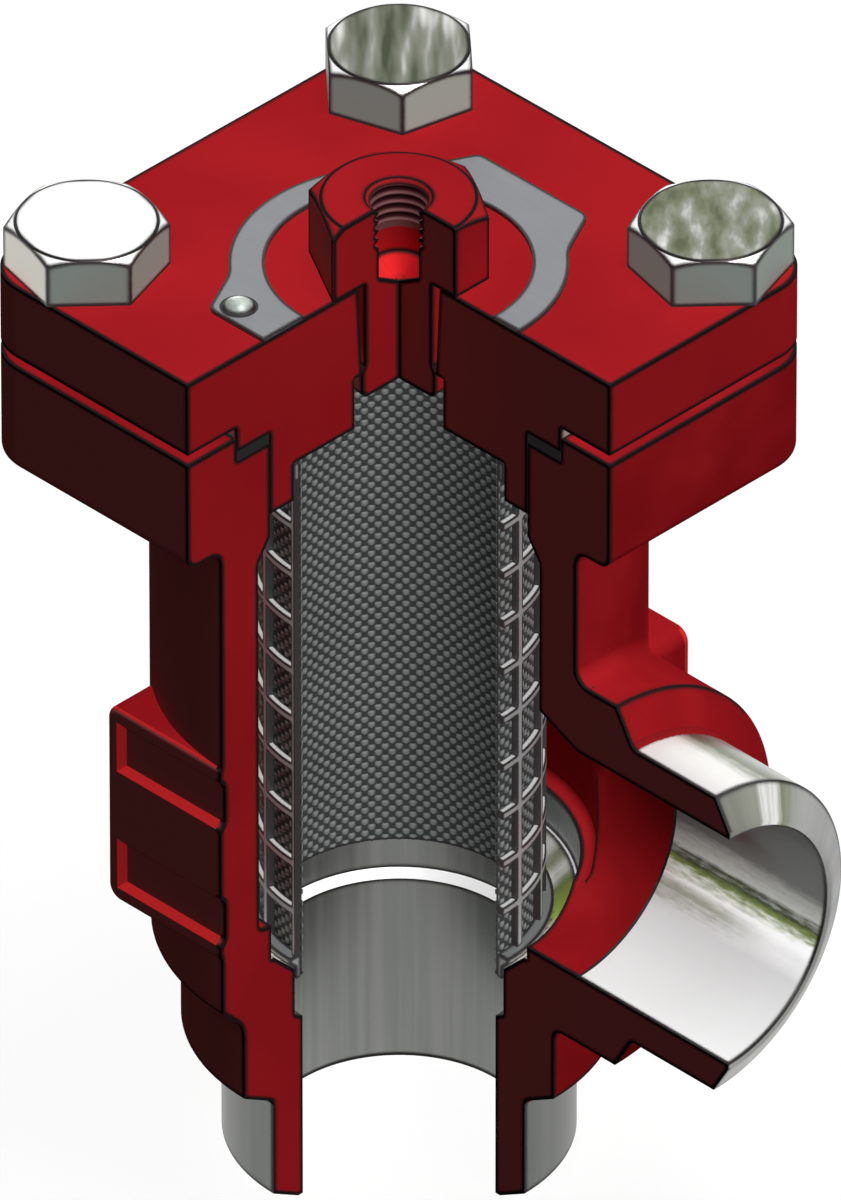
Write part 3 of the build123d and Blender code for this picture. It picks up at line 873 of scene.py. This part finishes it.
lengths = [castingCopy(nodeName) for nodeName in casting["lengths"]]
for other in lengths[1:]:
    join = lengths[0].modifiers.new("join", "BOOLEAN")
    join.operation = "UNION"
    join.solver = "EXACT"
    join.object = other
joined = lengths[0].evaluated_get(bpy.context.evaluated_depsgraph_get())
bm = bmesh.new()
bm.from_mesh(joined.to_mesh())
atJoint = [
    vert for vert in bm.verts
    if any(abs(vert.co[axis] - place) < casting["jointSlack"] for axis, place in casting["joints"])
]
bmesh.ops.remove_doubles(bm, verts=atJoint, dist=casting["jointWeld"])
bmesh.ops.dissolve_degenerate(bm, edges=bm.edges, dist=casting["weld"])
finishOrder = list(castingFinishes)
for face in bm.faces:
    face.smooth = True
    face.material_index = finishOrder.index(castingSurface(face))
for edge in bm.edges:
    oneFinish = len({face.material_index for face in edge.link_faces}) == 1
    edge.smooth = oneFinish and edge.calc_face_angle(0) < casting["smoothAngle"]
for face in bm.faces:
    middle = face.calc_center_median()
    for axis, place in casting["joints"]:  # slivers, where the facets of two lengths differ
        if abs(middle[axis] - place) < casting["sliverSlack"] and abs(face.normal[axis]) > casting["sliver"]:
            for edge in face.edges:
                edge.smooth = True
castingMesh = meshFrom(bm, "housingCasting")
for copy in lengths:
    bpy.data.objects.remove(copy)
if castingMesh.has_custom_normals:  # left from the solids, and wrong on the joined faces
    castingMesh.attributes.remove(castingMesh.attributes["custom_normal"])
housing = newPiece(
    "housingCasting", castingMesh, "housing", castingFinishes.values(), casting["lengths"]
)
shading = housing.modifiers.new("shading", "WEIGHTED_NORMAL")
shading.keep_sharp = True
print("housing joined:", len(castingMesh.polygons), "faces")


# Screen: fine wires wound in and out of a thin dark core, which stands for the warp wires and the shade
# between the wires

weave = {
    "radius": 16.25 * mm,
    "low": 31.9 * mm,
    "high": 106.6 * mm,
    "firstTurn": 0.4,  # degrees, clear of the cut planes
    "lastTurn": 269.6,
    "columns": 92,
    "weftPitch": 0.83 * mm,
    "weftWidth": 0.41 * mm,  # half of its height
    "weftDepth": 0.11 * mm,  # half of its thickness
    "weftSides": 6,
    "swing": 0.19 * mm,
    "coreDepth": 0.06 * mm,  # half of its thickness
    "coreSides": 4,
    "smoothAngle": radians(60),
}
turnedBy = radians(weave["lastTurn"] - weave["firstTurn"])


# A flat section carried round three quarters of the screen, swinging in and out by turns, a column at a time
def wind(bm, sides, shape, height, swing):
    corners = [Matrix.Rotation(pi * 2 * side / sides, 4, "Z") @ Vector((0, 1, 0)) for side in range(sides)]
    upended = Matrix.Rotation(radians(90), 4, "X")
    rings = []
    for column in range(weave["columns"] + 1):
        turned = radians(weave["firstTurn"]) + turnedBy * column / weave["columns"]
        outside = Matrix.Translation((weave["radius"] + swing * (-1) ** column, 0, height))
        place = Matrix.Rotation(turned, 4, "Z") @ outside @ upended @ shape
        rings.append([bm.verts.new(place @ corner) for corner in corners])
    for ring, following in zip(rings, rings[1:]):
        for side in range(sides):
            bm.faces.new((ring[side], ring[side - 1], following[side - 1], following[side]))
    bm.faces.new(rings[0])
    bm.faces.new(rings[-1][::-1])


def woundMesh(bm, name):
    for face in bm.faces:
        face.smooth = True
    mesh = meshFrom(bm, name)
    mesh.set_sharp_from_angle(angle=weave["smoothAngle"])
    return mesh


def weftMesh():
    bm = bmesh.new()
    shape = Matrix.Diagonal((weave["weftDepth"], weave["weftWidth"], 1.0, 1.0))
    wind(bm, weave["weftSides"], shape, weave["low"] + weave["weftPitch"] * 0.5, -weave["swing"])
    wind(bm, weave["weftSides"], shape, weave["low"] + weave["weftPitch"] * 1.5, weave["swing"])
    return woundMesh(bm, "screenWeft")


def coreMesh():
    bm = bmesh.new()
    halfHeight = (weave["high"] - weave["low"]) / 2
    upright = Matrix.Rotation(radians(45), 4, "Z")
    shape = Matrix.Diagonal((weave["coreDepth"] * sqrt(2), halfHeight * sqrt(2), 1.0, 1.0)) @ upright
    wind(bm, weave["coreSides"], shape, weave["low"] + halfHeight, 0.0)
    return woundMesh(bm, "screenCore")


weft = newPiece("screenWeft", weftMesh(), "strainer", [weftGrey], ["strainer_screen"])
rows = weft.modifiers.new("rows", "ARRAY")
rows.count = int((weave["high"] - weave["low"]) / weave["weftPitch"] / 2)
rows.use_relative_offset = False
rows.use_constant_offset = True
rows.constant_offset_displace = (0, 0, weave["weftPitch"] * 2)
core = newPiece("screenCore", coreMesh(), "strainer", [coreGrey], ["strainer_screen"])
print("screen woven:", rows.count * 2, "rows by", weave["columns"] + 1, "columns")


# Solids that keep their own shape

nodeFinishes = {
    "cover": coverRed,
    "screw_plug": plugRed,
    "cover_gasket": gasketBlack,
    "id_ring": plateGrey,
    "drive_rivet": rivetBright,
    "strainer_cage": cageGrey,
    "strainer_head_ring": headGrey,
    "strainer_foot_ring": footGrey,
    **boltFinishes,
}
for nodeName, material in nodeFinishes.items():
    nodes[nodeName].material_slots[0].material = material
print("solids painted:", len(nodeFinishes))


# Floor, backdrop and light

studio = {
    "floorSize": 6.0,
    "floorShade": 0.62,
    "floorGlow": 0.42,
    "ambient": 0.05,  # what the white surroundings add to matt surfaces
    "bounce": 0.03,  # how pale the floor is to matt surfaces
    "keyStrength": 2.66,
    "keyDirection": (0.2, 0.1, 1.0),
    "keyShade": 0.12,  # the share of it that casts shadows
    "fillStrength": 0.93,
    "fillDirection": (1.0, 0.0, 0.25),
    "rearStrength": 0.8,
    "rearDirection": (-1.0, 0.8, 0.0),  # reaches nothing that the main view shows
    "frontStrength": 0.1,
    "frontDirection": (-1.0, -0.6, 0.0),
    "boltStrength": 2.3,
    "strainerStrength": 1.6,
    "boltDirection": (0.45, -1.0, 0.2),
    "strainerDirection": (1.2, -0.4, 0.2),
    "cageStrength": 0.8,
    "cageDirection": (-0.3, -1.0, 0.3),
    "softness": 24,  # degrees that each lamp spans
}


# 1 for rays that show the background: to the camera, off a glossy surface or through glass
def seenRays(tree):
    camera, glossy, through = (
        tree.node("ShaderNodeLightPath", output=kind)
        for kind in ("Is Camera Ray", "Is Glossy Ray", "Is Transmission Ray")
    )
    return camera.math("MAXIMUM", camera.math("MAXIMUM", camera, glossy), through)


world = bpy.data.worlds.new("studio")
world.use_nodes = True
bpy.context.scene.world = world
sky = Tree(world.node_tree)
seen = seenRays(sky)
background = world.node_tree.nodes["Background"]
background.inputs["Color"].default_value = (1, 1, 1, 1)
strength = studio["ambient"] + seen * (1 - studio["ambient"])
world.node_tree.links.new(strength.socket, background.inputs["Strength"])

floorMaterial = bpy.data.materials.new("floorPale")
floorMaterial.use_nodes = True
floorTree = Tree(floorMaterial.node_tree)
floorShader = floorMaterial.node_tree.nodes["Principled BSDF"]
floorSeen = seenRays(floorTree)
hiddenShade, seenShade = ((studio[kind],) * 3 + (1,) for kind in ("bounce", "floorShade"))
floorShade = floorTree.mix(floorSeen, hiddenShade, seenShade)
floorGlow = floorTree.mix(floorSeen, (0, 0, 0, 1), (1, 1, 1, 1))
floorMaterial.node_tree.links.new(floorShade.socket, floorShader.inputs["Base Color"])
floorMaterial.node_tree.links.new(floorGlow.socket, floorShader.inputs["Emission Color"])
floorShader.inputs["Emission Strength"].default_value = studio["floorGlow"]
floorShader.inputs["Specular IOR Level"].default_value = 0.0
floorShader.inputs["Roughness"].default_value = 1.0

bm = bmesh.new()
bmesh.ops.create_grid(bm, x_segments=1, y_segments=1, size=studio["floorSize"] / 2)
floor = bpy.data.objects.new("floor", meshFrom(bm, "floor"))
floor.data.materials.append(floorMaterial)
bpy.context.scene.collection.objects.link(floor)


def sunLamp(name, direction, strength, shadow):
    lamp = bpy.data.lights.new(name, "SUN")
    lamp.energy = strength
    lamp.angle = radians(studio["softness"])
    lamp.use_shadow = shadow
    holder = bpy.data.objects.new(name, lamp)
    holder.rotation_euler = Vector(direction).to_track_quat("Z", "Y").to_euler()
    bpy.context.scene.collection.objects.link(holder)
    return holder


sunLamp("keyLamp", studio["keyDirection"], studio["keyStrength"] * studio["keyShade"], True)
sunLamp("openLamp", studio["keyDirection"], studio["keyStrength"] * (1 - studio["keyShade"]), False)
sunLamp("fillLamp", studio["fillDirection"], studio["fillStrength"], False)
sunLamp("rearLamp", studio["rearDirection"], studio["rearStrength"], False)
sunLamp("frontLamp", studio["frontDirection"], studio["frontStrength"], False)
cage, headRing, footRing = (nodes["strainer_" + part] for part in ("cage", "head_ring", "foot_ring"))
litPieces = {  # the pieces that each of three lamps lights alone
    "bolt": [nodes[nodeName] for nodeName in boltFinishes],
    "strainer": [weft, core, cage, headRing, footRing],
    "cage": [cage, footRing],
}
for kind, pieces in litPieces.items():
    receivers = bpy.data.collections.new(kind + "Receivers")
    for piece in pieces:
        receivers.objects.link(piece)
    lamp = sunLamp(kind + "Lamp", studio[kind + "Direction"], studio[kind + "Strength"], False)
    lamp.light_linking.receiver_collection = receivers
bpy.context.scene.view_settings.view_transform = "Standard"
print("studio lit")


# Camera: the drawing has no perspective, so the lens is long

view = {
    "target": Vector((-1.2, 4.8, 75.25)) * mm,
    "back": Vector((1, -1, 1)).normalized(),
    "frameHeight": 141.93 * mm,
    "lens": 1100.0,
    "sensor": 36.0,
    "near": 0.1,
    "far": 50.0,
}
camera = bpy.data.cameras.new("camera")
camera.lens = view["lens"]
camera.sensor_width = view["sensor"]
camera.clip_start = view["near"]
camera.clip_end = view["far"]
distance = view["frameHeight"] * view["lens"] / view["sensor"]
cameraHolder = bpy.data.objects.new("camera", camera)
cameraHolder.location = view["target"] + view["back"] * distance
cameraHolder.rotation_euler = (-view["back"]).to_track_quat("-Z", "Y").to_euler()
bpy.context.scene.collection.objects.link(cameraHolder)
bpy.context.scene.camera = cameraHolder
print("camera placed")
